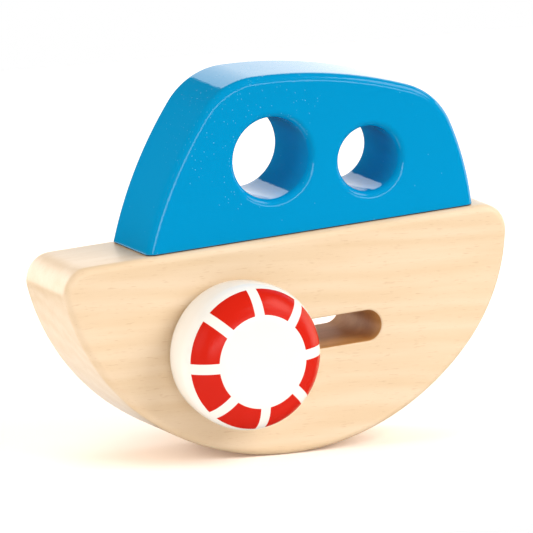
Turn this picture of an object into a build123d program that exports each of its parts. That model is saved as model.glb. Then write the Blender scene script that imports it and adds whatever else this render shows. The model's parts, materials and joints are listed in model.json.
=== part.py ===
from build123d import *
from math import acos, cos, degrees, radians, sin
import os

# Rocking toy boat, in millimetres.
# +X points to the stern, +Z up, and the port side faces -Y.
# The origin is the point where the level rocker touches the floor, midway between the two wheels.

# Hull: one board with a flat deck. Its round edge is the rocker, a long arc that turns into a tighter arc
# towards each tip. Each side is given as how far the long arc turns, in degrees, and the tighter radius.
hull_thickness = 25.0
rocker_radius = 62.2
rocker_bow_side = (40.9, 54.1)
rocker_stern_side = (46.4, 45.3)
deck_height = 53.0
hull_tip_radius = 6.4
hull_roundover = 1.8

# Slot: a straight through slot with round ends, parallel to the deck, that guides the axle.
slot_half_height = 3.7
slot_height = 28.3
slot_bow_x = -16.7
slot_stern_x = 19.0
slot_roundover = 0.5

# Cabin: one board whose outline is five arcs, each tangent to the next.
cabin_thickness = 22.0
cabin_fore_x = -36.05
cabin_roundover = 2.0
cabin_base_chamfer = 0.3
windscreen_heading = 73.2
windscreen_arc = (99.3, 21.1)
brow_arc = (17.7, 52.9)
roof_arc = (117.3, 20.1)
rear_brow_arc = (17.7, 48.8)
stern_wall_radius = 71.7

# Portholes: 20 mm and 16 mm holes right through the cabin, less the lacquer on their walls.
porthole_roundover = 1.8
large_porthole = {"radius": 9.9, "x": -2.1, "above_deck": 18.9}
small_porthole = {"radius": 7.9, "x": 23.2, "above_deck": 15.1}

# Dowels: hidden pegs, glued half in the hull and half in the cabin.
dowel_radius = 4.0
dowel_length = 26.0
dowel_chamfer = 0.8
glue_gap = 0.05
glue_well = 1.0
dowel_positions = {"cabin_dowel_fore": -19.0, "cabin_dowel_aft": 40.0}

# Axle: one peg that carries a wheel on each end. It rolls on the lower wall of the slot, clear of it by 0.2 mm.
axle_height = 28.05
axle_radius = 3.25
axle_length = 50.0
axle_chamfer = 0.6

# Wheels: turned discs with a flat face, a full round shoulder, a tread that narrows in one long arc to the
# back, and a blind socket for the axle.
wheel_radius = 17.8
wheel_tread_fall = 0.65
wheel_shoulder = 8.4
wheel_back_roundover = 1.8
wheel_back_y = 13.2
wheel_face_y = 30.66
socket_clearance = 0.05
socket_well = 0.4
wheel_sides = {"port_wheel": -1, "starboard_wheel": 1}


def board(outline, thickness):
    """A flat board: an outline drawn in X and Z, given half its thickness to each side of Y = 0."""
    face = Plane.XZ * make_face(outline)
    return extrude(face, amount=thickness / 2, both=True)


def across(radius, length):
    """A cylinder along Y, centred on the origin."""
    return Rot(X=90) * Cylinder(radius, length)


def rim_edges(solid, thickness):
    """The edges that lie in the two flat sides of a board."""
    return solid.edges().filter_by(
        lambda edge: abs(abs(edge.center().Y) - thickness / 2) < 0.01
        and edge.bounding_box().size.Y < 0.01
    )


def hull_side(long_turn, side_radius, way):
    """From the lowest point to one end of the deck: long arc, side arc and tip, each tangent to the next."""
    side_centre_z = rocker_radius - (rocker_radius - side_radius) * cos(radians(long_turn))
    tip_drop = side_centre_z - deck_height + hull_tip_radius
    side_end = degrees(acos(tip_drop / (side_radius - hull_tip_radius)))
    long_arc = JernArc((0, 0), (way, 0), rocker_radius, way * long_turn)
    side = JernArc(long_arc @ 1, long_arc % 1, side_radius, way * (side_end - long_turn))
    tip = JernArc(side @ 1, side % 1, hull_tip_radius, way * (180 - side_end))
    return [long_arc, side, tip]


def hull_outline():
    """The rocker and both tips, closed by the flat deck."""
    stern = hull_side(*rocker_stern_side, 1)
    bow = hull_side(*rocker_bow_side, -1)
    deck = Line(stern[-1] @ 1, bow[-1] @ 1)
    return Curve() + [*stern, deck, *bow]


def slot_cutter():
    """The slot's own shape, longer than the hull is thick."""
    length = slot_stern_x - slot_bow_x
    middle = (slot_bow_x + slot_stern_x) / 2
    profile = SlotCenterToCenter(length, 2 * slot_half_height)
    cutter = extrude(Plane.XZ * profile, amount=hull_thickness, both=True)
    return Pos(middle, 0, slot_height) * cutter


def dowel_hole(x):
    """A round hole for one dowel, with a glue well beyond each end of the dowel."""
    return Pos(x, 0, deck_height) * Cylinder(dowel_radius + glue_gap, dowel_length + 2 * glue_well)


def hull():
    """The hull board, rounded on both sides, with the axle slot and the lower dowel holes."""
    body = board(hull_outline(), hull_thickness)
    body = fillet(rim_edges(body, hull_thickness), hull_roundover)
    body -= slot_cutter()
    mouth = rim_edges(body, hull_thickness).filter_by(
        lambda edge: abs(edge.center().Z - slot_height) <= slot_half_height + 0.01
        and abs(edge.center().X) < slot_stern_x + slot_half_height + 0.01
    )
    body = fillet(mouth, slot_roundover)
    for x in dowel_positions.values():
        body -= dowel_hole(x)
    return body


def cabin_outline():
    """Five tangent arcs from the foot of the windscreen over the roof, closed by the flat base."""
    edges = []
    point = Vector(cabin_fore_x, deck_height)
    heading = windscreen_heading
    for radius, sweep in (windscreen_arc, brow_arc, roof_arc, rear_brow_arc):
        tangent = (cos(radians(heading)), sin(radians(heading)))
        edges.append(JernArc(point, tangent, radius, -sweep))
        point = edges[-1] @ 1
        heading -= sweep
    centre_z = point.Y - stern_wall_radius * cos(radians(heading))
    foot_heading = -degrees(acos((deck_height - centre_z) / stern_wall_radius))
    tangent = (cos(radians(heading)), sin(radians(heading)))
    edges.append(JernArc(point, tangent, stern_wall_radius, foot_heading - heading))
    edges.append(Line(edges[-1] @ 1, (cabin_fore_x, deck_height)))
    return Curve() + edges


def cabin():
    """The cabin board, rounded on both sides, with a small chamfer round its base and two portholes."""
    body = board(cabin_outline(), cabin_thickness)
    for porthole in (large_porthole, small_porthole):
        centre = Pos(porthole["x"], 0, deck_height + porthole["above_deck"])
        body -= centre * across(porthole["radius"], 2 * cabin_thickness)
    rims = rim_edges(body, cabin_thickness).filter_by(lambda edge: edge.center().Z > deck_height + 0.01)
    portholes = rims.filter_by(lambda edge: edge.is_closed)
    body = fillet(portholes, porthole_roundover)
    rims = rim_edges(body, cabin_thickness).filter_by(lambda edge: edge.center().Z > deck_height + 0.01)
    outside = rims.filter_by(lambda edge: not edge.is_closed)
    body = fillet(outside, cabin_roundover)
    base = body.faces().sort_by(Axis.Z)[0]
    body = chamfer(base.edges(), cabin_base_chamfer)
    for x in dowel_positions.values():
        body -= dowel_hole(x)
    return body


def dowel(x):
    """One joining dowel, upright, half above and half below the deck."""
    peg = Cylinder(dowel_radius, dowel_length)
    peg = chamfer(peg.edges().filter_by(GeomType.CIRCLE), dowel_chamfer)
    return Pos(x, 0, deck_height) * peg


def axle():
    """The axle at the bow end of its slot."""
    peg = across(axle_radius, axle_length)
    peg = chamfer(peg.edges().filter_by(GeomType.CIRCLE), axle_chamfer)
    return Pos(slot_bow_x, 0, axle_height) * peg


def wheel(side):
    """One wheel, turned about the axle: a half outline in radius and depth, spun round."""
    shoulder_radius = wheel_radius - wheel_shoulder
    shoulder_y = wheel_face_y - wheel_shoulder
    tread_end = (wheel_radius - wheel_tread_fall, wheel_back_y + wheel_back_roundover)
    back_edge = (tread_end[0] - wheel_back_roundover, wheel_back_y)
    socket_radius = axle_radius + socket_clearance
    socket_y = axle_length / 2 + socket_well
    face = Line((0, wheel_face_y), (shoulder_radius, wheel_face_y))
    shoulder = TangentArc((shoulder_radius, wheel_face_y), (wheel_radius, shoulder_y), tangent=(1, 0))
    tread = TangentArc((wheel_radius, shoulder_y), tread_end, tangent=(0, -1))
    back_round = TangentArc(tread_end, back_edge, tangent=tread % 1)
    back = Line(back_edge, (socket_radius, wheel_back_y))
    socket_wall = Line((socket_radius, wheel_back_y), (socket_radius, socket_y))
    socket_floor = Line((socket_radius, socket_y), (0, socket_y))
    middle = Line((0, socket_y), (0, wheel_face_y))
    half = make_face(Curve() + [face, shoulder, tread, back_round, back, socket_wall, socket_floor, middle])
    turned = revolve(half, Axis.Y)
    if side < 0:
        turned = Rot(Z=180) * turned
    return Pos(slot_bow_x, 0, axle_height) * turned


def main():
    os.makedirs("parts", exist_ok=True)
    shapes = {"hull": hull(), "cabin": cabin(), "axle": axle()}
    for name, x in dowel_positions.items():
        shapes[name] = dowel(x)
    for name, side in wheel_sides.items():
        shapes[name] = wheel(side)
    for name, shape in shapes.items():
        export_step(shape, f"parts/{name}.step")


main()
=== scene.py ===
# %% [markdown]
# # A rocking toy boat
# The real toy is two thick boards, two turned wheels and one axle. The hull is a segment of a disc, so it
# rocks on its round edge, and the wheels slide along a slot in it and shift its balance. Each board is made
# here as one smooth skin worked out from a walk round its outline, because boards with an even roundover on
# every edge are exactly that: an outline, a thickness and a quarter-round.

# %% Load the fixed frame
import json
import math

import bmesh
import bpy
import numpy as np
from mathutils import Matrix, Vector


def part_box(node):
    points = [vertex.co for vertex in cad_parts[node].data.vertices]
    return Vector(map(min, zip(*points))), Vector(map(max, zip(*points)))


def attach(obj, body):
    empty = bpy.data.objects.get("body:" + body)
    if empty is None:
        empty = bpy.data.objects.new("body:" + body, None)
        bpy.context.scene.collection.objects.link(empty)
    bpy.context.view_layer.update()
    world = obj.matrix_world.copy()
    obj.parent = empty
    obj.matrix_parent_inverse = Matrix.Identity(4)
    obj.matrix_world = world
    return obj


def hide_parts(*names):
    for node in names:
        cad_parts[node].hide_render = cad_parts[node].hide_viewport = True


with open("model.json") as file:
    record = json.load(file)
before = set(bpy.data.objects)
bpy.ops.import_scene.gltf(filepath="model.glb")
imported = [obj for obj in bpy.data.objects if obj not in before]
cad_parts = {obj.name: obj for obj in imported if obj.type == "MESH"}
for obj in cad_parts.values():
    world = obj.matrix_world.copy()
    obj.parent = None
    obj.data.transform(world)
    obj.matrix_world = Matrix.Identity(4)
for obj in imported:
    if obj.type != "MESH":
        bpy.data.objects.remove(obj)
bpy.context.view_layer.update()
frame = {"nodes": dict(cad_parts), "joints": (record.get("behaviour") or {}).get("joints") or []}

print("CAD nodes:", sorted(frame["nodes"]))

# %% [markdown]
# ## Where things are
# The frame is in metres, and a woodworker thinks in millimetres, so one value turns one into the other.
# Places come from the frame's own boxes: half the hull's thickness, the deck's height, the middle of the
# axle. Only what a box can't say, such as the radius of a corner, is a named value here.

# %% Measure the frame
MM = 0.001


def node_box(name):
    """Lowest and highest corner of a CAD node, in millimetres."""
    low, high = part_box(name)
    return np.array(low) / MM, np.array(high) / MM


hull_low, hull_high = node_box("hull")
cabin_low, cabin_high = node_box("cabin")
axle_low, axle_high = node_box("axle")
wheel_low, wheel_high = node_box("starboard_wheel")

hull_half = (hull_high[1] - hull_low[1]) / 2
cabin_half = (cabin_high[1] - cabin_low[1]) / 2
deck_height = hull_high[2]
axle_x = (axle_low[0] + axle_high[0]) / 2
axle_z = (axle_low[2] + axle_high[2]) / 2
axle_radius = (axle_high[2] - axle_low[2]) / 2
wheel_radius = (wheel_high[2] - wheel_low[2]) / 2
wheel_back_y, wheel_face_y = wheel_low[1], wheel_high[1]
slide_travel = next(j for j in frame["joints"] if j["name"] == "axle_slide")["range_m"][1] / MM
print("deck at", round(deck_height, 2), "mm; axle at", round(axle_x, 2), round(axle_z, 2), "mm")

# %% [markdown]
# ## The camera
# The camera comes first, so that every later choice can be judged through it. It stands far off with a long
# lens, which keeps the parallel edges of the toy nearly parallel. The toy stands as the wheels leave it,
# rocked a little onto its bow, so the camera is rolled by that angle while the boat's own deck stays level.

# %% Make the camera
ROCK = math.radians(3.76)
CAMERA_AZIMUTH = math.radians(-23.80)
CAMERA_ELEVATION = math.radians(12.40)
CAMERA_DISTANCE = 4.0
CAMERA_TARGET = np.array([-0.76, 0.0, 43.57]) * MM
CAMERA_LENS = 1131.7


def camera_axes(azimuth, elevation, roll):
    """Right, up and back of a camera or a light, as arrows of length 1.

    With azimuth a and elevation e, back points from the target to it: (sin a cos e, -cos a cos e, sin e).
    Right is level and square to back, up is square to both, and the roll turns right and up about back.
    """
    back = np.array([
        math.sin(azimuth) * math.cos(elevation),
        -math.cos(azimuth) * math.cos(elevation),
        math.sin(elevation),
    ])
    level = np.array([math.cos(azimuth), math.sin(azimuth), 0.0])
    up = np.cross(back, level)
    right = math.cos(roll) * level - math.sin(roll) * up
    return right, np.cross(back, right), back


def make_camera():
    """A long lens CAMERA_DISTANCE from its target, rolled by the angle that the boat is rocked by."""
    right, up, back = camera_axes(CAMERA_AZIMUTH, CAMERA_ELEVATION, ROCK)
    data = bpy.data.cameras.new("camera")
    data.lens = CAMERA_LENS
    camera = bpy.data.objects.new("camera", data)
    bpy.context.scene.collection.objects.link(camera)
    place = np.eye(4)
    place[:3, 0], place[:3, 1], place[:3, 2] = right, up, back
    place[:3, 3] = CAMERA_TARGET + back * CAMERA_DISTANCE
    camera.matrix_world = Matrix(place.tolist())
    data.clip_end = CAMERA_DISTANCE * 3
    return camera


camera = make_camera()
bpy.context.scene.camera = camera
bpy.context.scene.view_settings.view_transform = "Standard"
print("camera stands", CAMERA_DISTANCE, "m away with a", CAMERA_LENS, "mm lens")

# %% [markdown]
# ## Colour and nodes
# Paint makers quote colours as hex codes in sRGB, and Blender's sockets want linear light, so one function
# turns one into the other. A second function adds a shader node with its settings and links, and every
# material below is written with it.

# %% Colour and node helpers


def to_linear(code):
    """A hex sRGB colour as linear red, green, blue and alpha.

    Above 0.04045 a channel c becomes ((c + 0.055) / 1.055) to the power 2.4, and below it c / 12.92.
    """
    srgb = np.array([int(code[i : i + 2], 16) for i in (1, 3, 5)]) / 255
    linear = np.where(srgb <= 0.04045, srgb / 12.92, ((srgb + 0.055) / 1.055) ** 2.4)
    return (*linear.tolist(), 1.0)


def add(tree, kind, inputs=None, stops=None, **settings):
    """Adds a node with its settings and links.

    inputs maps a socket's name or number to a value or to another node's output, and stops are the places
    and colours of a colour ramp.
    """
    node = tree.nodes.new(kind)
    for name, value in settings.items():
        setattr(node, name, value)
    for socket, value in (inputs or {}).items():
        if isinstance(value, bpy.types.NodeSocket):
            tree.links.new(value, node.inputs[socket])
        else:
            node.inputs[socket].default_value = value
    for place, (position, colour) in enumerate(stops or []):
        ramp = node.color_ramp.elements
        stop = ramp[place] if place < len(ramp) else ramp.new(position)
        stop.position, stop.color = position, colour
    return node


def new_material(name):
    """An empty node material with its output, and the object's own coordinates in millimetres."""
    material = bpy.data.materials.new(name)
    material.use_nodes = True
    tree = material.node_tree
    tree.nodes.clear()
    output = add(tree, "ShaderNodeOutputMaterial")
    place = add(tree, "ShaderNodeTexCoord")
    scaled = {0: place.outputs["Object"], "Scale": 1 / MM}
    millimetres = add(tree, "ShaderNodeVectorMath", scaled, operation="SCALE").outputs[0]
    return material, tree, output, millimetres


print("middle grey in linear light:", [round(c, 3) for c in to_linear("#808080")[:3]])

# %% [markdown]
# ## Skins made of grids
# A surface is a grid of points: one direction runs round the outline and the other across it. Several grids
# that share their edges are joined into one closed skin. Blender could bevel and boolean a plain block
# instead, but its bevels leave ragged faces where curves meet a hole, and a grid keeps every highlight clean.

# %% Grid and skin helpers


def grid_faces(rows, columns, wrap_rows, wrap_columns, first):
    """Four corner numbers for each cell of a grid, where point r, c has number first + r * columns + c.

    A way that wraps has one more row or column of cells, which go from its last points back to its first.
    """
    row = np.arange(rows if wrap_rows else rows - 1)
    column = np.arange(columns if wrap_columns else columns - 1)
    row, column = np.meshgrid(row, column, indexing="ij")
    next_row, next_column = (row + 1) % rows, (column + 1) % columns
    corners = [
        row * columns + column,
        row * columns + next_column,
        next_row * columns + next_column,
        next_row * columns + column,
    ]
    return first + np.stack(corners, -1).reshape(-1, 4)


def skin(name, patches, weld=0.002):
    """One mesh from patches that share their edges: points closer together than weld become one.

    A patch is an array of rows x columns x 3 in millimetres, with whether its rows and its columns wrap.
    """
    points, faces, first = [], [], 0
    for grid, wrap_rows, wrap_columns in patches:
        rows, columns = grid.shape[:2]
        points.append(grid.reshape(-1, 3))
        faces.append(grid_faces(rows, columns, wrap_rows, wrap_columns, first))
        first += rows * columns
    points = np.concatenate(points) * MM
    faces = np.concatenate(faces)
    mesh = bpy.data.meshes.new(name)
    mesh.vertices.add(len(points))
    mesh.vertices.foreach_set("co", points.astype(np.float32).ravel())
    mesh.loops.add(faces.size)
    mesh.loops.foreach_set("vertex_index", faces.astype(np.int32).ravel())
    mesh.polygons.add(len(faces))
    mesh.polygons.foreach_set("loop_start", np.arange(0, faces.size, 4, dtype=np.int32))
    mesh.update(calc_edges=True)
    shell = bmesh.new()
    shell.from_mesh(mesh)
    bmesh.ops.remove_doubles(shell, verts=shell.verts, dist=weld * MM)
    bmesh.ops.recalc_face_normals(shell, faces=shell.faces)
    open_edges = sum(not edge.is_manifold for edge in shell.edges)
    shell.to_mesh(mesh)
    shell.free()
    mesh.polygons.foreach_set("use_smooth", np.ones(len(mesh.polygons), dtype=bool))
    piece = bpy.data.objects.new(name, mesh)
    bpy.context.scene.collection.objects.link(piece)
    print(name, "has", len(mesh.polygons), "faces and", open_edges, "open edges")
    return piece


def seat(piece, body, slot, material, *nodes):
    """Gives a finished piece its material and its body, and hides the CAD nodes that it stands for; its slot
    is not used.
    """
    piece.data.materials.append(material)
    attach(piece, body)
    if nodes:
        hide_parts(*nodes)


def eased(count):
    """Steps from 0 to 1 that crowd at both ends, as (1 - cos of a half turn) / 2 does.

    They give a flat face a tight row of points beside each roundover.
    """
    half_turn = np.linspace(0, math.pi, count)
    return (1 - np.cos(half_turn)) / 2


print("five eased steps:", eased(5).round(3).tolist())

# %% [markdown]
# ## Outlines as walks
# Both boards are cut to outlines made of tangent arcs, as a jigsaw follows a template. Such an outline is a
# walk: each leg has a length and a curvature, and the heading never jumps. Asking the walk for the place and
# the outward normal at any distance gives even points, wherever the legs begin and end.

# %% Walk along an outline


def walk_at(start, heading, legs, distance):
    """Place and outward normal at a distance along a walk of (length, curvature) legs that turns right.

    Within a leg, going t on from its start means a chord of t * sinc(k * t / 2), in the direction of the
    heading at its start less half the turn k * t. The outward normal is to the left of the heading.
    """
    length, curvature = np.array(legs).T
    turns = np.concatenate([[0], np.cumsum(length * curvature)])
    ends = np.concatenate([[0], np.cumsum(length)])
    headings = heading - turns
    chord = length * np.sinc(length * curvature / (2 * math.pi))
    way = headings[:-1] - length * curvature / 2
    steps = np.stack([chord * np.cos(way), chord * np.sin(way)], -1)
    corners = np.array(start) + np.concatenate([np.zeros((1, 2)), np.cumsum(steps, 0)])
    leg = np.clip(np.searchsorted(ends, distance, side="right") - 1, 0, len(legs) - 1)
    t, k = distance - ends[leg], curvature[leg]
    chord = t * np.sinc(k * t / (2 * math.pi))
    way = headings[leg] - k * t / 2
    place = corners[leg] + np.stack([chord * np.cos(way), chord * np.sin(way)], -1)
    now = headings[leg] - k * t
    return place, np.stack([-np.sin(now), np.cos(now)], -1)


def quarter_round(radius, count):
    """Inset from the outline and setback from the flat side, along a quarter-round from side to rim.

    They are radius * (1 - sin) and radius * (1 - cos) of the angle turned.
    """
    turn = np.linspace(0, math.pi / 2, count)
    return radius * (1 - np.sin(turn)), radius * (1 - np.cos(turn))


def rim_section(radius, half, count, middle):
    """Inset and y across a board's rim, from its port side to its starboard side.

    Each roundover gets count points, and the flat between gets middle points, with its ends shared.
    """
    inset, setback = quarter_round(radius, count)
    flat = eased(middle)[1:-1] * 2 - 1
    inset = np.concatenate([inset, 0 * flat, inset[::-1]])
    y = np.concatenate([setback - half, flat * (half - radius), half - setback[::-1]])
    return inset, y


def between(first, last, steps):
    """Rows of points that go from one loop to another, point by point, at the given shares of the way."""
    return first[None] + (last - first)[None] * np.array(steps)[:, None, None]


def flat_points(loop, y):
    """A loop of x and z, laid in the plane at y."""
    return np.stack([loop[..., 0], np.full(loop.shape[:-1], y), loop[..., 1]], -1)


def carried(loop, inward, radius, half, rows):
    """A rim's section carried round a loop of x and z, where each point moves along inward by the inset.

    Rows holds how many points a roundover gets and how many the flat between.
    """
    inset, y = rim_section(radius, half, *rows)
    moved = loop[:, None] + inward[:, None] * inset[None, :, None]
    return np.stack([moved[..., 0], np.broadcast_to(y, moved.shape[:2]), moved[..., 1]], -1)


half_round = walk_at((0.0, 0.0), 0.0, [(2 * math.pi, 1.0)], np.array([math.pi]))[0][0]
print("half way round a circle of radius 1, a walk is at", half_round.round(3).tolist())

# %% [markdown]
# ## The hull
# The real hull is one board of pale close-grained wood. Its outline is a straight deck above a rocker of one
# long arc, which runs into a tighter arc towards each end and then into a small round tip. Each end is worked
# out from how far the long arc turns and the radius of the arc after it, because the tip has to come out
# level with the deck.

# %% Walk the hull's outline
ROCKER_RADIUS = 62.2
ROCKER_BOW_SIDE = (40.9, 54.1)
ROCKER_STERN_SIDE = (46.4, 45.3)
HULL_TIP_RADIUS = 6.4


def hull_side(long_turn, side_radius):
    """One end of the hull: how far the deck reaches from the origin, and how far its tip and side arc turn.

    The long arc turns by long_turn, and the side arc goes on until a tip of its own radius, tangent to it,
    comes out level with the deck. The normal's angle from straight down is met there, so that
    cos(met) = (height of the side arc's centre - height of the tip's centre) / (difference of their radii).
    """
    turn = math.radians(long_turn)
    side_centre = (ROCKER_RADIUS - side_radius) * np.array([math.sin(turn), -math.cos(turn)])
    drop = ROCKER_RADIUS + side_centre[1] - (deck_height - HULL_TIP_RADIUS)
    arm = side_radius - HULL_TIP_RADIUS
    met = math.acos(drop / arm)
    reach = side_centre[0] + arm * math.sin(met)
    tip = (HULL_TIP_RADIUS * (math.pi - met), 1 / HULL_TIP_RADIUS)
    side = (side_radius * (met - turn), 1 / side_radius)
    return reach, tip, side


def hull_walk():
    """Deck, stern tip, stern arc, the rocker's long arc, bow arc and bow tip, each tangent to the next."""
    stern_reach, stern_tip, stern_arc = hull_side(*ROCKER_STERN_SIDE)
    bow_reach, bow_tip, bow_arc = hull_side(*ROCKER_BOW_SIDE)
    long_turn = math.radians(ROCKER_STERN_SIDE[0] + ROCKER_BOW_SIDE[0])
    deck = (bow_reach + stern_reach, 0.0)
    rocker = (ROCKER_RADIUS * long_turn, 1 / ROCKER_RADIUS)
    return (-bow_reach, deck_height), 0.0, [deck, stern_tip, stern_arc, rocker, bow_arc, bow_tip]


print("legs of the hull's outline, mm:", [round(length, 1) for length, _ in hull_walk()[2]])

# %% [markdown]
# ## The hull's skin
# The board is rounded over on both sides, and the slot is routed right through it with a smaller roundover.
# The skin is a rim that runs once round the outline, one flat ring on each side from the rim to the slot, and
# the slot's own wall. A ray from the slot's middle to each point of the outline finds that point's partner on
# the wall, so every row of the ring is one clean line of faces.

# %% Make the hull's skin
HULL_ROUNDOVER = 1.8
SLOT_HALF_HEIGHT = 3.7
SLOT_HEIGHT = 28.3
SLOT_ROUNDOVER = 0.5
OUTLINE_STEP = 0.4
RIM_ROWS = (10, 9)
SLOT_ROWS = (6, 9)
SIDE_ROWS = 13


def slot_wall(middle, half_length, aim):
    """Where a ray from the slot's middle meets its wall, and the wall's normal away from the slot's space.

    The ray meets a straight side where its height is the slot's half height r. Or else it meets a round end,
    at a distance of a * |c| + sqrt(r^2 - a^2 * s^2), where a is the half length and c, s are the ray's cosine
    and sine.
    """
    cosine, sine = np.cos(aim), np.sin(aim)
    side = SLOT_HALF_HEIGHT / np.maximum(np.abs(sine), 1e-9)
    inside = np.maximum(SLOT_HALF_HEIGHT**2 - (half_length * sine) ** 2, 0)
    end = half_length * np.abs(cosine) + np.sqrt(inside)
    straight = side * np.abs(cosine) <= half_length
    reach = np.where(straight, side, end)
    place = np.stack([reach * cosine, reach * sine], -1)
    centre = np.stack([np.clip(place[:, 0], -half_length, half_length), 0 * reach], -1)
    return middle + place, (place - centre) / SLOT_HALF_HEIGHT


def make_hull():
    """Rim, two flat rings and slot wall, whose points are partners all the way from the outline inwards."""
    start, heading, legs = hull_walk()
    total = sum(length for length, _ in legs)
    distance = np.linspace(0, total, int(total / OUTLINE_STEP), endpoint=False)
    place, normal = walk_at(start, heading, legs, distance)
    rim = carried(place, -normal, HULL_ROUNDOVER, hull_half, RIM_ROWS)
    middle = np.array([axle_x + slide_travel / 2, SLOT_HEIGHT])
    side_edge = place - normal * HULL_ROUNDOVER
    aim = np.arctan2(*(side_edge - middle).T[::-1])
    wall, away = slot_wall(middle, slide_travel / 2, aim)
    mouth = wall + away * SLOT_ROUNDOVER
    ring = between(side_edge, mouth, eased(SIDE_ROWS))
    sides = [(flat_points(ring, y_side), False, True) for y_side in (-hull_half, hull_half)]
    slot = carried(wall, away, SLOT_ROUNDOVER, hull_half, SLOT_ROWS)
    return skin("hull_board", [(rim, True, False), *sides, (slot, True, False)])


hull_board = make_hull()

# %% [markdown]
# ## The cabin
# The cabin is a thinner board whose outline has five tangent arcs: windscreen, brow, roof, rear brow and
# stern wall. The first four are given as a radius and the degrees that they turn, and the last goes on until
# it meets the deck. The base has a small chamfer, and every line of the rim begins and ends where it starts.

# %% Walk the cabin's outline
CABIN_ROUNDOVER = 2.0
CABIN_BASE_CHAMFER = 0.3
CABIN_FORE_X = -36.05
WINDSCREEN_HEADING = math.radians(73.2)
CABIN_ARCS = [(99.3, 21.1), (17.7, 52.9), (117.3, 20.1), (17.7, 48.8)]
STERN_WALL_RADIUS = 71.7


def foot_angle(centre_height, radius, inset, height):
    """How far an arc's normal leans from upright where the arc, moved inwards by inset, is at a height.

    Its cosine is (height - centre's height) / (radius - inset).
    """
    return np.arccos((height - centre_height) / (radius - inset))


def cabin_walk():
    """Five arcs that turn right from the foot of the windscreen to the foot of the stern wall."""
    legs = [(radius * math.radians(turn), 1 / radius) for radius, turn in CABIN_ARCS]
    start = (CABIN_FORE_X, deck_height)
    ends = sum(length for length, _ in legs)
    place, normal = walk_at(start, WINDSCREEN_HEADING, legs, np.array([ends]))
    stern_centre_z = place[0, 1] - STERN_WALL_RADIUS * normal[0, 1]
    lean = math.atan2(normal[0, 0], normal[0, 1])
    foot = float(foot_angle(stern_centre_z, STERN_WALL_RADIUS, 0.0, deck_height))
    legs.append((STERN_WALL_RADIUS * (foot - lean), 1 / STERN_WALL_RADIUS))
    return start, WINDSCREEN_HEADING, legs, stern_centre_z


def cabin_rim():
    """The rim's grid: every line along the outline begins and ends on the level where the chamfer starts.

    A line that is moved inwards meets that level at another lean of the arc's normal, and so at a distance
    along the outline that differs by the arc's radius times the difference of the leans.
    """
    start, heading, legs, stern_centre_z = cabin_walk()
    total = sum(length for length, _ in legs)
    inset, y = rim_section(CABIN_ROUNDOVER, cabin_half, *RIM_ROWS)
    level = deck_height + CABIN_BASE_CHAMFER
    fore_radius = CABIN_ARCS[0][0]
    fore_centre_z = deck_height - fore_radius * math.cos(heading)
    begin = fore_radius * (heading - foot_angle(fore_centre_z, fore_radius, inset, level))
    whole = foot_angle(stern_centre_z, STERN_WALL_RADIUS, 0.0, deck_height)
    part = foot_angle(stern_centre_z, STERN_WALL_RADIUS, inset, level)
    finish = total - STERN_WALL_RADIUS * (whole - part)
    share = np.linspace(0, 1, int(total / OUTLINE_STEP))[:, None]
    distance = begin + share * (finish - begin)
    place, normal = walk_at(start, heading, legs, distance)
    loop = place - normal * inset[None, :, None]
    return np.stack([loop[..., 0], np.broadcast_to(y, loop.shape[:2]), loop[..., 1]], -1)


print("legs of the cabin's outline, mm:", [round(length, 1) for length, _ in cabin_walk()[2]])

# %% [markdown]
# ## The cabin's sides
# Two portholes go right through the cabin. A flat side with two holes can't be one ring, so each side is two
# rings that meet on an upright line between the portholes. Rays from each porthole's middle pair its wall
# with the loop round it, as they did for the slot.

# %% Fill the cabin's sides
PORTHOLE_ROUNDOVER = 1.8
PORTHOLES = {
    "large": {"radius": 9.9, "centre": (-2.1, deck_height + 18.9)},
    "small": {"radius": 7.9, "centre": (23.2, deck_height + 15.1)},
}


def side_rings(edge):
    """Two rings of x and z that fill a side, the porthole walls that they end on, and their base lines.

    The line between them is half way from the large porthole's sternmost point to the small one's foremost.
    """
    large, small = PORTHOLES["large"], PORTHOLES["small"]
    large_aft = large["centre"][0] + large["radius"]
    small_fore = small["centre"][0] - small["radius"]
    split = int(np.argmin(np.abs(edge[:, 0] - (large_aft + small_fore) / 2)))
    level = edge[0, 1]
    top = edge[split]
    bottom = np.array([top[0], level])
    fall = np.linspace(0, 1, int((top[1] - level) / OUTLINE_STEP))[:, None]
    upright = top + (bottom - top) * fall
    rings, walls, bases = [], [], []
    for hole, arc in ((large, edge[: split + 1]), (small, edge[split:])):
        foot = arc[0] if hole is large else arc[-1]
        along = np.linspace(0, 1, int(abs(bottom[0] - foot[0]) / OUTLINE_STEP))[:, None]
        base = bottom + (foot - bottom) * along
        if hole is large:
            loop = np.concatenate([arc, upright[1:], base[1:-1]])
        else:
            loop = np.concatenate([arc, base[::-1][1:], upright[::-1][1:-1]])
        centre = np.array(hole["centre"])
        aim = np.arctan2(*(loop - centre).T[::-1])
        away = np.stack([np.cos(aim), np.sin(aim)], -1)
        wall = centre + away * hole["radius"]
        rings.append(between(loop, wall + away * PORTHOLE_ROUNDOVER, eased(SIDE_ROWS)))
        walls.append((wall, away))
        bases.append(base)
    return rings, walls, bases


print("points round each porthole:", [len(wall) for wall, _ in side_rings(cabin_rim()[:, 0, [0, 2]])[1]])

# %% [markdown]
# ## The cabin's base
# The base is cut flat where it is glued to the deck, and its small chamfer leaves a fine groove along the
# joint. The chamfer is a strip from the sides' lower edge to the flat, and the flat is rows of points that
# run straight across from one side to the other.

# %% Make the cabin's skin
PORTHOLE_ROWS = (9, 7)
BASE_ROWS = 9


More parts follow.
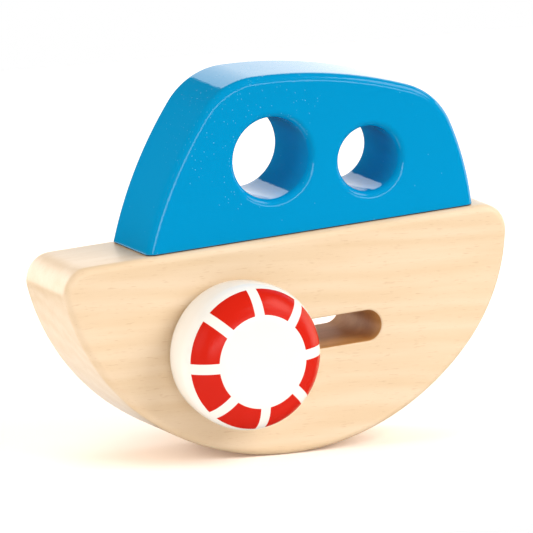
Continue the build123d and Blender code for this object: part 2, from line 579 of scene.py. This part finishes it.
def base_patches(rim, bases):
    """The chamfer round the base, and the flat base itself.

    The lower edge is the upper one moved inwards, square to its own direction, by the chamfer's width.
    """
    half_count = rim.shape[1] // 2 + 1
    fore = rim[0, :half_count][::-1]
    aft = rim[-1, :half_count]
    level = rim[0, 0, 2]
    port_x = np.concatenate([bases[0][::-1][1:, 0], bases[1][1:-1, 0]])
    port = np.stack([port_x, np.full(len(port_x), -cabin_half), np.full(len(port_x), level)], -1)
    edge = np.concatenate([fore, port, aft])
    along = np.gradient(edge[:, :2], axis=0)
    along /= np.linalg.norm(along, axis=1, keepdims=True)
    inward = np.stack([-along[:, 1], along[:, 0]], -1)
    inward[[0, -1]] = [[1, 0], [-1, 0]]
    lower = edge.copy()
    lower[:, :2] += inward * CABIN_BASE_CHAMFER
    lower[:, 2] = deck_height
    lower[[0, -1], 1] = 0.0
    mirror = np.array([1, -1, 1])
    chamfers = [np.stack([side * edge, side * lower]) for side in (np.ones(3), mirror)]
    base = between(lower, lower * mirror, np.linspace(0, 1, BASE_ROWS))
    return [(patch, False, False) for patch in (*chamfers, base)]


def make_cabin():
    """Rim, two rings on each side, the walls of both portholes and the base."""
    rim = cabin_rim()
    rings, walls, bases = side_rings(rim[:, 0, [0, 2]])
    patches = [(rim, False, False)]
    patches += [(flat_points(ring, y), False, True) for y in (-cabin_half, cabin_half) for ring in rings]
    for wall, away in walls:
        bore = carried(wall, away, PORTHOLE_ROUNDOVER, cabin_half, PORTHOLE_ROWS)
        patches.append((bore, True, False))
    patches += base_patches(rim, bases)
    return skin("cabin_board", patches)


cabin_board = make_cabin()

# %% [markdown]
# ## The wheels
# Each wheel is turned on a lathe, so its skin is one outline spun round the axle: a flat face, a shoulder
# of one large radius, a short tread, a small roundover at the back, and a blind socket for the axle. The
# outline is worked out as points of radius and y, and the spin places it at every angle at once.

# %% Spin the wheels
WHEEL_SHOULDER = 8.4
WHEEL_BACK_ROUNDOVER = 1.8
TREAD_FALL = 0.65
SOCKET_CLEARANCE = 0.05
SOCKET_FLOOR_Y = 25.4
TURNS = 144


def arc_points(centre, radius, first, last, count):
    """Points of radius and y on an arc, whose angle is measured from the way that y grows."""
    turn = np.radians(np.linspace(first, last, count))
    return np.stack([centre[0] + radius * np.sin(turn), centre[1] + radius * np.cos(turn)], -1)


def line_points(first, last, count):
    """Points of radius and y on a straight line, crowded at its ends and without its last point."""
    first, last = np.array(first), np.array(last)
    return (first + (last - first) * eased(count)[:, None])[:-1]


def wheel_outline():
    """Face, shoulder, tread, back roundover, back and socket, from the face's middle to the socket's.

    The tread falls by f over its length l, so its arc's radius is (l^2 + f^2) / (2 * f). The roundover at
    the back goes on from the tread's lean and turns by twice what is left of 45 degrees.
    """
    shoulder_centre = (wheel_radius - WHEEL_SHOULDER, wheel_face_y - WHEEL_SHOULDER)
    tread_end = np.array([wheel_radius - TREAD_FALL, wheel_back_y + WHEEL_BACK_ROUNDOVER])
    tread_length = shoulder_centre[1] - tread_end[1]
    tread_radius = (tread_length**2 + TREAD_FALL**2) / (2 * TREAD_FALL)
    lean = math.asin(tread_length / tread_radius)
    tread_centre = (wheel_radius - tread_radius, shoulder_centre[1])
    back_radius = WHEEL_BACK_ROUNDOVER / math.sqrt(2) / math.sin(math.pi / 4 - lean)
    back_centre = tread_end + back_radius * np.array([-math.cos(lean), math.sin(lean)])
    across = 90 + math.degrees(lean)
    bore = axle_radius + SOCKET_CLEARANCE
    return np.concatenate([
        line_points((0, wheel_face_y), (shoulder_centre[0], wheel_face_y), 12),
        arc_points(shoulder_centre, WHEEL_SHOULDER, 0, 90, 29)[:-1],
        arc_points(tread_centre, tread_radius, 90, across, 9)[:-1],
        arc_points(back_centre, back_radius, across, 270 - across, 9)[:-1],
        line_points((tread_end[0] - WHEEL_BACK_ROUNDOVER, wheel_back_y), (bore, wheel_back_y), 14),
        line_points((bore, wheel_back_y), (bore, SOCKET_FLOOR_Y), 8),
        line_points((bore, SOCKET_FLOOR_Y), (0, SOCKET_FLOOR_Y), 5),
        [[0, SOCKET_FLOOR_Y]],
    ])


def spun(outline, angles, side):
    """Points of radius and y, turned about the axle: x and z are radius times cosine and sine."""
    radius, y = outline[..., 0], outline[..., 1]
    cosine, sine = np.cos(angles), np.sin(angles)
    return np.stack([axle_x + radius * cosine, side * y + 0 * sine, axle_z + radius * sine], -1)


SIDES = {"port": -1, "starboard": 1}


def make_wheel(side):
    """The outline at every angle of a whole turn, on the side that is asked for."""
    angles = np.linspace(0, 2 * math.pi, TURNS, endpoint=False)[:, None]
    return skin(f"{side}_wheel_turned", [(spun(wheel_outline()[None], angles, SIDES[side]), True, False)])


wheels = {side: make_wheel(side) for side in SIDES}

# %% [markdown]
# ## The printed ring
# The red ring on each wheel is paint, laid on the shoulder by a soft pad in eight pieces with even gaps, like
# the spokes of a helm. A picture of it wrapped on the wheel would be the quick way. Here each piece is a film
# with a real thickness, a few hundredths of a millimetre, so it has true edges from every side.

# %% Lay the film on the shoulder
RING_INNER, RING_OUTER = 11.29, 16.89
RING_GAP = 2.5
RING_PARTS = 8
FILM_PROUD, FILM_SUNK = 0.03, 0.05
FILM_ROWS, FILM_COLUMNS = 13, 25


def on_shoulder(radius, lift):
    """Radius and y on the shoulder's arc at a distance from the axle, lifted along the arc's normal.

    The normal leans from the axle by asin((distance - distance of the arc's centre) / arc's radius).
    """
    lean = np.arcsin((radius - wheel_radius + WHEEL_SHOULDER) / WHEEL_SHOULDER)
    y = wheel_face_y - WHEEL_SHOULDER + (WHEEL_SHOULDER + lift) * np.cos(lean)
    return np.stack([radius + lift * np.sin(lean), y], -1)


def make_film(side, part):
    """One piece of the ring: a closed loop up and back across the shoulder, carried from gap to gap.

    The gaps are bars with parallel sides, so at each radius they take asin(half gap / radius) off both ends.
    """
    radius = RING_INNER + (RING_OUTER - RING_INNER) * eased(FILM_ROWS)
    loop_radius = np.concatenate([radius, radius[::-1]])
    lift = np.repeat([FILM_PROUD, -FILM_SUNK], len(radius))
    part_turn = 2 * math.pi / RING_PARTS
    margin = np.arcsin(RING_GAP / 2 / loop_radius)
    share = eased(FILM_COLUMNS)[:, None]
    angles = part_turn * part + margin + share * (part_turn - 2 * margin)
    grid = spun(on_shoulder(loop_radius, lift)[None], angles, SIDES[side])
    ends = [np.stack([row[:FILM_ROWS], row[FILM_ROWS:][::-1]]) for row in (grid[0], grid[-1])]
    caps = [(end, False, False) for end in ends]
    return skin(f"{side}_ring_film_{part + 1}", [(grid, False, True), *caps])


films = {side: [make_film(side, part) for part in range(RING_PARTS)] for side in SIDES}

# %% [markdown]
# ## Wood
# The hull is maple, sanded and sealed with a thin satin varnish. Growth rings are tubes about the tree's
# heart, which lay well away from the board and a few degrees out of line with it, so the faces show long
# faint bands that wander across it. Rings are 3 to 6 mm apart here. Between them maple has fine streaks and
# short darker flecks, 1 to 3 mm long. A picture of wood would show the same grain on every face, but a
# pattern that fills space runs on round each edge. The slot's wall is rougher and nearly without varnish,
# and its colour is painted darker and browner than the board's, a painted shade for the deep slot.

# %% Mix the wood
RING_SPACING = 5.2
WAVE_TURN = 20
RING_WANDER, RING_WANDER_SIZE = 14.0, (60, 14)
STREAK_SIZE, FLECK_SIZE = (50, 2.6), (2.6, 0.3)
FLECK_DEPTH = 0.02


def stretched(tree, place, length, across, **noise):
    """Noise whose grains are that long in millimetres along X and that wide along Y and Z."""
    sizes = (1 / length, 1 / across, 1 / across)
    mapped = add(tree, "ShaderNodeMapping", {0: place, "Scale": sizes}).outputs[0]
    return add(tree, "ShaderNodeTexNoise", {"Vector": mapped, "Scale": 1.0, **noise}).outputs[0]


def wood_material(name, colours, heart, tilt, rough, coat=0.25):
    """Wandering rings about a tilted axis, long streaks and short flecks, under a coat of satin varnish.

    Blender's wave turns by WAVE_TURN radians in each unit, so that a scale of 2 * pi / (turn * spacing) gives
    one ring for each spacing.
    """
    pale, dark, fleck = (to_linear(code) for code in colours)
    material, tree, output, place = new_material(name)
    turned = add(tree, "ShaderNodeMapping", {0: place, "Location": heart, "Rotation": tilt}).outputs[0]
    bend = stretched(tree, turned, *RING_WANDER_SIZE, Detail=2.0)
    phase = add(tree, "ShaderNodeMath", {0: bend, 1: RING_WANDER}, operation="MULTIPLY").outputs[0]
    wave = {"Vector": turned, "Scale": 2 * math.pi / WAVE_TURN / RING_SPACING, "Phase Offset": phase}
    rings = add(tree, "ShaderNodeTexWave", wave, wave_type="RINGS", rings_direction="X").outputs[1]
    streak = stretched(tree, turned, *STREAK_SIZE, Detail=3.0, Roughness=0.6)
    share = add(tree, "ShaderNodeMath", {0: rings, 1: 0.3, 2: streak}, operation="MULTIPLY_ADD").outputs[0]
    tone = [(0.35, pale), (0.9, dark)]
    board = add(tree, "ShaderNodeValToRGB", {0: share}, stops=tone).outputs[0]
    fibre = stretched(tree, turned, *FLECK_SIZE, Detail=1.0)
    fleck_tone = [(0.62, (0, 0, 0, 1)), (0.78, (0.3, 0.3, 0.3, 1))]
    spots = add(tree, "ShaderNodeValToRGB", {0: fibre}, stops=fleck_tone).outputs[0]
    mixed = {0: spots, 6: board, 7: fleck}
    colour = add(tree, "ShaderNodeMix", mixed, data_type="RGBA").outputs[2]
    bump = {"Height": fibre, "Strength": 0.1, "Distance": FLECK_DEPTH * MM}
    surface = {
        "Base Color": colour,
        "Roughness": rough,
        "IOR": 1.5,
        "Coat Weight": coat,
        "Coat Roughness": 0.3,
        "Normal": add(tree, "ShaderNodeBump", bump).outputs[0],
    }
    shader = add(tree, "ShaderNodeBsdfPrincipled", surface).outputs[0]
    tree.links.new(shader, output.inputs[0])
    return material


HULL_HEART, HULL_TILT = (0, -30, 60), (0, -0.09, 0.03)
ALONG_Y, ALONG_Z = (0, 0, 1.57), (0, 1.57, 0)

# Maple, sanded fine and varnished thinly: pale cream with faint bands and a soft, broad sheen.
MAPLE = ("#EBD4B7", "#E4C9A6", "#C0935F")
maple = wood_material("maple_sanded_varnished", MAPLE, HULL_HEART, HULL_TILT, 0.42, 0.45)

# The same maple in the slot, rougher and all but matt, with its colour painted darker and browner as a
# painted shade for the deep slot.
ROUTED_PAINTED_SHADE = ("#CF9A5C", "#C0884A", "#8E5E32")
routed_painted_shade = wood_material("maple_routed_painted_shade", ROUTED_PAINTED_SHADE, HULL_HEART, HULL_TILT, 0.68, 0.08)

# Maple turned to a rod: its grain runs along the axle, and it is a little darker than the board.
AXLE = ("#E3C8A4", "#D2B086", "#A97F50")
axle_wood = wood_material("maple_axle_turned", AXLE, (0, 9, 4), ALONG_Y, 0.5)

# Beech rod: a little warmer than the maple, with its grain upright.
DOWEL = ("#E0C09C", "#CFA880", "#A47A50")
dowel_wood = wood_material("beech_dowel_turned", DOWEL, (0, 7, 5), ALONG_Z, 0.55)
print("woods:", [wood.name for wood in (maple, routed_painted_shade, axle_wood, dowel_wood)])

# %% [markdown]
# ## Lacquer and print
# The cabin and the wheels are sprayed with gloss lacquer. Sprayed lacquer dries with orange peel, dimples
# about a millimetre across, and on wood it sinks a little along the grain. Both are only microns deep, but
# they bend every reflection, so they are what tells sprayed wood from moulded plastic. Specks of dust dry
# into the film as well, each a raised dot about 0.4 mm wide. On the cabin each speck is also painted pale
# blue, a painted glint, and the specks are crowded at the brow, where these painted glints lie thickest.

# %% Mix the lacquers
PEEL_SIZE, SUNK_GRAIN_SIZE = (1.1, 1.1), (14, 0.45)
SPECK_SPACING, SPECK_RADIUS, SPECK_HEIGHT = 0.8, 0.26, 0.05
SPECK_NEAR, SPECK_FAR, SPECK_THINNING = 8.0, 26.0, 40
# The specks' share, the place at the brow where they lie thickest, and their pale blue, which is a painted
# glint.
BROW_DUST_AND_GLINTS = (0.55, (-10.0, -11.0, 82.0), "#4FB6EA")


def dust_and_glint_specks(tree, place, share, thickest):
    """Domes on a few cells of a cell pattern: 1 at a speck's middle, and 0 past its radius in cells.

    The domes raise specks of dust and also place painted glints. The share of the cells that hold a speck is
    whole up to the near distance, in millimetres, from the place where they lie thickest. It falls smoothly
    from there, and from the far distance on it is divided by the thinning.
    """
    cells = add(tree, "ShaderNodeTexVoronoi", {"Vector": place, "Scale": 1 / SPECK_SPACING})
    dome = {0: cells.outputs["Distance"], "From Max": SPECK_RADIUS, "To Min": 1.0, "To Max": 0.0}
    height = add(tree, "ShaderNodeMapRange", dome, interpolation_type="SMOOTHSTEP").outputs[0]
    away = add(tree, "ShaderNodeVectorMath", {0: place, 1: thickest}, operation="DISTANCE").outputs["Value"]
    fall = {0: away, "From Min": SPECK_NEAR, "From Max": SPECK_FAR}
    fall |= {"To Min": share, "To Max": share / SPECK_THINNING}
    limit = add(tree, "ShaderNodeMapRange", fall, interpolation_type="SMOOTHSTEP").outputs[0]
    chance = add(tree, "ShaderNodeSeparateColor", {0: cells.outputs["Color"]}).outputs[0]
    chosen = add(tree, "ShaderNodeMath", {0: chance, 1: limit}, operation="LESS_THAN").outputs[0]
    return add(tree, "ShaderNodeMath", {0: height, 1: chosen}, operation="MULTIPLY").outputs[0]


def lacquer_material(name, colour, rough, peel, grain, dust_and_glints=None, ior=1.5):
    """A pigmented film. Its orange peel and its sunken grain are as deep as is said, in millimetres.

    The specks are the share of cells with a speck, the place where they lie thickest, and their pale colour,
    which is a painted glint.
    """
    material, tree, output, place = new_material(name)
    dimples = stretched(tree, place, *PEEL_SIZE, Detail=1.0)
    lines = stretched(tree, place, *SUNK_GRAIN_SIZE, Detail=1.0)
    dimpled = {"Height": dimples, "Strength": 1.0, "Distance": peel * MM}
    relief = add(tree, "ShaderNodeBump", dimpled).outputs[0]
    sunk = {"Height": lines, "Strength": 1.0, "Distance": grain * MM, "Normal": relief}
    relief = add(tree, "ShaderNodeBump", sunk).outputs[0]
    surface = {"Base Color": to_linear(colour), "Roughness": rough, "IOR": ior}
    if dust_and_glints:
        share, thickest, pale = dust_and_glints
        specks = dust_and_glint_specks(tree, place, share, thickest)
        # The specks' pale colour is a painted glint, mixed into the base colour.
        mixed = {0: specks, 6: to_linear(colour), 7: to_linear(pale)}
        surface["Base Color"] = add(tree, "ShaderNodeMix", mixed, data_type="RGBA").outputs[2]
        raised = {"Height": specks, "Distance": SPECK_HEIGHT * MM, "Normal": relief}
        relief = add(tree, "ShaderNodeBump", raised).outputs[0]
    surface["Normal"] = relief
    shader = add(tree, "ShaderNodeBsdfPrincipled", surface).outputs[0]
    tree.links.new(shader, output.inputs[0])
    return material


# Sprayed lacquer, strong sky blue: sharp reflections that the peel and the grain bend, and specks of dust
# with painted glints in pale blue, crowded at the brow.
blue_lacquer = lacquer_material("blue_gloss_lacquer_sprayed", "#0092CD", 0.07, 0.02, 0.012, BROW_DUST_AND_GLINTS)

# Sprayed lacquer, warm white: thinner and more even, with softer reflections.
white_lacquer = lacquer_material("white_gloss_lacquer_sprayed", "#F4F2EE", 0.12, 0.008, 0.004)

# Pad-printing ink, warm red: a smooth film with a satin sheen, weaker than the lacquer's.
red_print = lacquer_material("red_pad_print_ink", "#CF1C07", 0.26, 0.004, 0.002, ior=1.4)

# Dark brown and matt: a painted shade in the groove along the cabin's joint, with dried glue in it as well.
joint_glue_and_shade = lacquer_material("joint_glue_and_painted_shade", "#2E2620", 0.6, 0.0, 0.0)
print("films:", [film.name for film in (blue_lacquer, white_lacquer, red_print, joint_glue_and_shade)])

# %% [markdown]
# ## Finishes by place
# One skin can carry two materials. The slot's wall gets a rougher wood, nearly without varnish, whose colour
# is painted darker and browner as a painted shade for the deep slot. The chamfer under the cabin gets a dark
# brown, a painted shade for the groove along the joint, with dried glue in it as well. Which faces they are
# is
# worked out from where the faces lie: near the slot's middle line, or in the chamfer under the cabin.

# %% Seat every piece


def face_middles(piece):
    """The middle of every face, in millimetres."""
    faces = piece.data.polygons
    middles = np.empty(len(faces) * 3)
    faces.foreach_get("center", middles)
    return middles.reshape(-1, 3) / MM


def second_finish(piece, material, chosen):
    """Gives the chosen faces the piece's second material."""
    piece.data.materials.append(material)
    piece.data.polygons.foreach_set("material_index", chosen.astype(np.int32))
    print(piece.name, "has", int(chosen.sum()), "faces of", material.name)


seat(hull_board, "boat", "hull_wood", maple, "hull")
seat(cabin_board, "boat", "cabin_blue_lacquer", blue_lacquer, "cabin")
for side in SIDES:
    seat(wheels[side], "wheel_pair", "wheel_white_lacquer", white_lacquer, f"{side}_wheel")
    for film in films[side]:
        seat(film, "wheel_pair", "ring_red_print", red_print)

# The slot's painted shade goes a quarter of the way into the roundover, and the joint's painted shade stops
# just under the chamfer's top.
ROUTED_SHADE_REACH = SLOT_HALF_HEIGHT + SLOT_ROUNDOVER / 4
JOINT_SHADE_TOP = deck_height + CABIN_BASE_CHAMFER * 0.9

middles = face_middles(hull_board)
past_end = np.abs(middles[:, 0] - axle_x - slide_travel / 2) - slide_travel / 2
from_line = np.hypot(np.maximum(past_end, 0), middles[:, 2] - SLOT_HEIGHT)
second_finish(hull_board, routed_painted_shade, from_line < ROUTED_SHADE_REACH)
middles = face_middles(cabin_board)
second_finish(cabin_board, joint_glue_and_shade, middles[:, 2] < JOINT_SHADE_TOP)

for node, wood in (("axle", axle_wood), ("cabin_dowel_fore", dowel_wood), ("cabin_dowel_aft", dowel_wood)):
    frame["nodes"][node].data.materials.clear()
    frame["nodes"][node].data.materials.append(wood)

# %% [markdown]
# ## The floor
# The toy is rocked onto its bow, so in the boat's own level frame it is the floor that leans. It touches the
# round rocker where the rocker's normal is the floor's. It is white, with a little warm glow that only the
# camera sees, so that it is plain white everywhere except in the boat's soft shadow. Gloss paint would mirror
# all of it and turn pale, so the floor is kept out of reflections. A sheet close behind the boat, which only
# reflections see, gives the bow end its sheen.

# %% Lay the floor
WHITE, BLACK = (1, 1, 1, 1), (0, 0, 0, 1)
FLOOR_WHITE, FLOOR_GLOW = (0.95, 0.94, 0.93, 1), (0.24, 0.13, 0.08, 1)
FLOOR_REACH = {"x": (-600, 600), "y": (-110, 490)}
SHEET_REACH = {"x": (-120, 120), "y": (14, 110)}
SHEET_LIFT = 0.1


def floor_frame():
    """The floor's normal, its way towards the stern, and the point below the rocker's centre."""
    normal = np.array([math.sin(ROCK), 0, math.cos(ROCK)])
    along = np.array([math.cos(ROCK), 0, -math.sin(ROCK)])
    touch = np.array([0, 0, ROCKER_RADIUS]) - ROCKER_RADIUS * normal
    return normal, along, touch


def make_sheet(name, reach, lift, colour, glow, seen_by):
    """A flat sheet in the floor's plane, or lift above it, whose glow only one kind of ray sees.

    A corner is touch + lift * normal + x * along + y * across, with x towards the stern and y to the back.
    """
    normal, along, touch = floor_frame()
    x, y = np.meshgrid(reach["x"], reach["y"], indexing="ij")
    points = touch + lift * normal + x[..., None] * along + y[..., None] * np.array([0, 1, 0])
    sheet = skin(name, [(points, False, False)])
    material, tree, output, _ = new_material(name + "_paper")
    seen = add(tree, "ShaderNodeLightPath").outputs[seen_by]
    surface = {"Base Color": colour, "Roughness": 0.9, "Specular IOR Level": 0.0}
    surface |= {"Emission Color": glow, "Emission Strength": seen}
    shader = add(tree, "ShaderNodeBsdfPrincipled", surface).outputs[0]
    tree.links.new(shader, output.inputs[0])
    sheet.data.materials.append(material)
    return sheet


floor = make_sheet("floor", FLOOR_REACH, 0.0, FLOOR_WHITE, FLOOR_GLOW, "Is Camera Ray")
floor.visible_glossy = False
sheet = make_sheet("sheet_behind", SHEET_REACH, SHEET_LIFT, BLACK, WHITE, "Is Glossy Ray")
sheet.visible_camera = sheet.visible_diffuse = sheet.visible_shadow = False

# %% [markdown]
# ## The light
# Gloss shows its surroundings, so what lights the boat and what it mirrors are hung apart. The softboxes that
# are matt give light and shade and aren't seen in any reflection: the key from the right, a softer one from
# the bow, a low one behind that reaches into the portholes, and one over the floor alone. Those that are
# gloss are only mirrored: a broad panel behind, which the roof and the portholes' lower walls mirror, a strip
# in front that draws the thin line along every rounded edge, two that lift the wheel's ring and one for the
# hull's bow end alone. The two flat sides mirror the dark surround, so their colours stay deep.

# %% Hang the lights
FILL, SHEEN = 0.6, 0.03
FILL_COLOUR = (1.0, 0.9, 0.76, 1)
LIGHT_AIM = np.array([0, 0, 0.045])
WARM, COOL = (1.0, 0.92, 0.8), (0.93, 0.97, 1.0)
LIGHT_DISTANCE = 1.2


def softbox(name, kind, azimuth, elevation, size, radiance, colour=(1, 1, 1)):
    """A rectangular light aimed at the boat: matt only lights, and gloss is only seen in reflections.

    Its power is radiance times pi times area.
    """
    right, up, back = camera_axes(math.radians(azimuth), math.radians(elevation), 0.0)
    data = bpy.data.lights.new(name, "AREA")
    data.shape = "RECTANGLE"
    data.size, data.size_y = size
    data.energy = radiance * math.pi * size[0] * size[1]
    data.color = colour
    light = bpy.data.objects.new(name, data)
    bpy.context.scene.collection.objects.link(light)
    place = np.eye(4)
    place[:3, 0], place[:3, 1], place[:3, 2] = right, up, back
    place[:3, 3] = LIGHT_AIM + back * LIGHT_DISTANCE
    light.matrix_world = Matrix(place.tolist())
    light.visible_camera = False
    light.visible_glossy = kind == "gloss"
    light.visible_diffuse = kind == "matt"
    print(name, "is", kind, "and gives", round(data.energy, 2), "W")
    return light


def surround():
    """White to the camera, a soft warm fill to matt surfaces, and nearly dark to reflections."""
    world = bpy.data.worlds.new("surround")
    bpy.context.scene.world = world
    world.use_nodes = True
    tree = world.node_tree
    tree.nodes.clear()
    path = add(tree, "ShaderNodeLightPath")
    fill = add(tree, "ShaderNodeBackground", {"Color": FILL_COLOUR, "Strength": FILL}).outputs[0]
    shine = add(tree, "ShaderNodeBackground", {"Color": WHITE, "Strength": SHEEN}).outputs[0]
    white = add(tree, "ShaderNodeBackground", {"Color": WHITE, "Strength": 1.0}).outputs[0]
    by_surface = {0: path.outputs["Is Glossy Ray"], 1: fill, 2: shine}
    unseen = add(tree, "ShaderNodeMixShader", by_surface).outputs[0]
    by_camera = {0: path.outputs["Is Camera Ray"], 1: unseen, 2: white}
    shown = add(tree, "ShaderNodeMixShader", by_camera).outputs[0]
    add(tree, "ShaderNodeOutputWorld", {0: shown})


def light_only(light, piece):
    """Lets a light fall on one piece and nothing else."""
    receivers = bpy.data.collections.new(light.name + "_receivers")
    receivers.objects.link(piece)
    light.light_linking.receiver_collection = receivers


surround()
softbox("key_softbox", "matt", 42, 30, (1.0, 0.7), 5.4)
softbox("bow_softbox", "matt", -80, 22, (0.8, 0.6), 3.5)
softbox("back_softbox", "matt", 200, 14, (1.2, 0.7), 2.0)
over_floor = softbox("floor_softbox", "matt", 180, 80, (1.4, 1.0), 1.4, COOL)
softbox("back_panel", "gloss", 143, 12, (1.4, 1.07), 1.5)
softbox("front_strip", "gloss", 0, 8, (1.9, 0.2), 3.0)
softbox("key_mirror", "gloss", 62, 34, (0.5, 0.55), 2.6, WARM)
softbox("side_mirror", "gloss", 92, 4, (0.6, 0.6), 1.7, WARM)
at_bow = softbox("bow_mirror", "gloss", 200, 10, (0.9, 0.8), 2.6)
light_only(over_floor, floor)
light_only(at_bow, hull_board)
